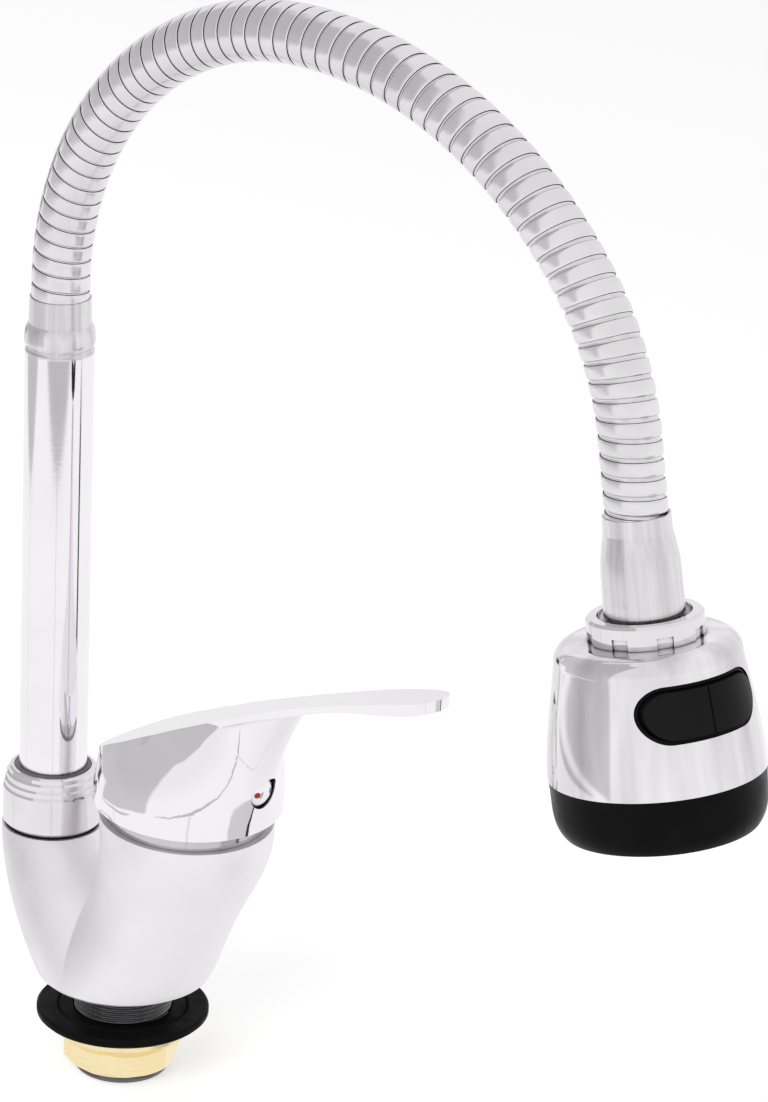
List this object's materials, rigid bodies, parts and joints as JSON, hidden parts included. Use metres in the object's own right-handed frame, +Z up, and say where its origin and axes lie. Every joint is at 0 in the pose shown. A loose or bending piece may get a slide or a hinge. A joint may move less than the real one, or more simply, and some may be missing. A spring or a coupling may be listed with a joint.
{
  "type": "kitchen tap",
  "caption": "Single-lever sink mixer tap with a swivelling riser, a bendable steel gooseneck and a tilting two-way spray head, fixed through one hole by a shank and nut.",
  "frame": {"origin": "centre of the body's round base, on the sink deck", "axes": "+Z up, +X forwards along the lever and towards the spray head, +Y to the left"},
  "size_m": [0.2906, 0.0638, 0.3686],
  "materials": {
    "chromed_brass": "polished chrome",
    "chromed_lever": "polished chrome",
    "chromed_tube": "polished chrome",
    "chromed_thread": "satin thread",
    "plated_shell": "polished chrome",
    "steel_strip": "bright rolled strip",
    "yellow_brass": "machined",
    "black_rubber": "matt",
    "hose_rubber": "matt",
    "black_plastic": "satin",
    "black_gloss": "semi-gloss",
    "grey_plastic": "satin",
    "white_plastic": "satin",
    "soft_nozzles": "soft",
    "ceramic": "lapped",
    "steel_mesh": "plain",
    "red_mark": "gloss",
    "blue_mark": "gloss"
  },
  "bodies": {
    "base": {"mixer_body": "chromed_brass", "base_seal": "black_rubber", "threaded_shank": "chromed_thread", "deck_gasket": "black_rubber", "fixing_nut": "yellow_brass", "cartridge_base": "grey_plastic", "cartridge_seals": "black_rubber", "cartridge_housing": "white_plastic", "fixed_disc": "ceramic", "cartridge_nut": "yellow_brass", "cover_dome": "chromed_brass", "spout_collar": "chromed_brass", "collar_seal": "black_rubber", "collar_o_ring": "black_rubber", "spout_bush": "white_plastic"},
    "spout": {"riser_tube": "chromed_tube", "riser_foot": "yellow_brass", "riser_o_rings": "black_rubber", "lower_ferrule": "chromed_tube", "hose_section_1": "steel_strip", "inner_hose_1": "hose_rubber"},
    "hose_2": {"hose_section_2": "steel_strip", "inner_hose_2": "hose_rubber"},
    "hose_3": {"hose_section_3": "steel_strip", "inner_hose_3": "hose_rubber"},
    "hose_4": {"hose_section_4": "steel_strip", "inner_hose_4": "hose_rubber"},
    "hose_5": {"hose_section_5": "steel_strip", "inner_hose_5": "hose_rubber"},
    "hose_6": {"hose_section_6": "steel_strip", "inner_hose_6": "hose_rubber"},
    "neck": {"hose_section_7": "steel_strip", "inner_hose_7": "hose_rubber", "upper_ferrule": "chromed_tube", "swivel_ball": "yellow_brass"},
    "ball_ring": {"ball_seat": "white_plastic"},
    "spray_head": {"head_shell": "plated_shell", "ring_nut": "plated_shell", "head_core": "grey_plastic", "selector_bezel": "black_plastic", "face_ring": "black_plastic", "spray_plate": "grey_plastic", "nozzle_mat": "soft_nozzles", "aerator_housing": "white_plastic", "aerator_mesh": "steel_mesh"},
    "selector": {"selector_rocker": "black_gloss"},
    "diverter": {"diverter_spool": "white_plastic"},
    "turret": {"cartridge_rotor": "white_plastic", "pivot_pin": "steel_mesh"},
    "disc": {"moving_disc": "ceramic", "disc_holder": "grey_plastic"},
    "lever": {"lever_handle": "chromed_lever", "cartridge_stem": "yellow_brass", "set_screw": "steel_mesh", "index_plug": "plated_shell", "red_dot": "red_mark", "blue_dot": "blue_mark"}
  },
  "joints": [
    {"name": "spout_swivel", "type": "hinge", "parent": "base", "child": "spout", "pos_m": [-0.0333, 0, 0.102], "axis": [0, 0, 1], "continuous": true},
    {"name": "hose_flex_1", "type": "hinge", "parent": "spout", "child": "hose_2", "pos_m": [-0.02173, 0, 0.27279], "axis": [0, -1, 0], "range_deg": [-2.5, 8]},
    {"name": "hose_flex_2", "type": "hinge", "parent": "hose_2", "child": "hose_3", "pos_m": [0.01148, 0, 0.30935], "axis": [0, -1, 0], "range_deg": [-2.5, 8]},
    {"name": "hose_flex_3", "type": "hinge", "parent": "hose_3", "child": "hose_4", "pos_m": [0.05817, 0, 0.32547], "axis": [0, -1, 0], "range_deg": [-2.5, 8]},
    {"name": "hose_flex_4", "type": "hinge", "parent": "hose_4", "child": "hose_5", "pos_m": [0.10749, 0, 0.32001], "axis": [0, -1, 0], "range_deg": [-2.5, 8]},
    {"name": "hose_flex_5", "type": "hinge", "parent": "hose_5", "child": "hose_6", "pos_m": [0.15137, 0, 0.29686], "axis": [0, -1, 0], "range_deg": [-2.5, 8]},
    {"name": "hose_flex_6", "type": "hinge", "parent": "hose_6", "child": "neck", "pos_m": [0.1832, 0, 0.25891], "axis": [0, -1, 0], "range_deg": [-2.5, 8]},
    {"name": "head_tilt", "type": "hinge", "parent": "neck", "child": "ball_ring", "pos_m": [0.2021, 0, 0.17412], "axis": [0, 1, 0], "range_deg": [-9, 9]},
    {"name": "head_swivel", "type": "hinge", "parent": "ball_ring", "child": "spray_head", "pos_m": [0.2021, 0, 0.17412], "axis": [-0.1771, 0, 0.9842], "continuous": true},
    {"name": "selector_rock", "type": "hinge", "parent": "spray_head", "child": "selector", "pos_m": [0.22305, -0.00585, 0.16569], "axis": [-0.1771, 0, 0.9842], "range_deg": [-6, 6]},
    {"name": "diverter_slide", "type": "slide", "parent": "spray_head", "child": "diverter", "axis": [0.2878, 0.9563, 0.0518], "range_m": [-0.00104, 0.00104]},
    {"name": "handle_turn", "type": "hinge", "parent": "base", "child": "turret", "pos_m": [0.0256, 0, 0.058], "axis": [0.0523, 0, 0.9986], "range_deg": [-50, 50]},
    {"name": "handle_lift", "type": "hinge", "parent": "turret", "child": "lever", "pos_m": [0.0256, 0, 0.058], "axis": [0, -1, 0], "range_deg": [0, 22]},
    {"name": "disc_slide", "type": "slide", "parent": "turret", "child": "disc", "axis": [0.9986, 0, -0.0523], "range_m": [0, 0.0036]}
  ],
  "couplings": [
    {"joint": "disc_slide", "follows": "handle_lift", "m_per_rad": 0.0092},
    {"joint": "selector_rock", "follows": "diverter_slide", "rad_per_m": -100}
  ]
}
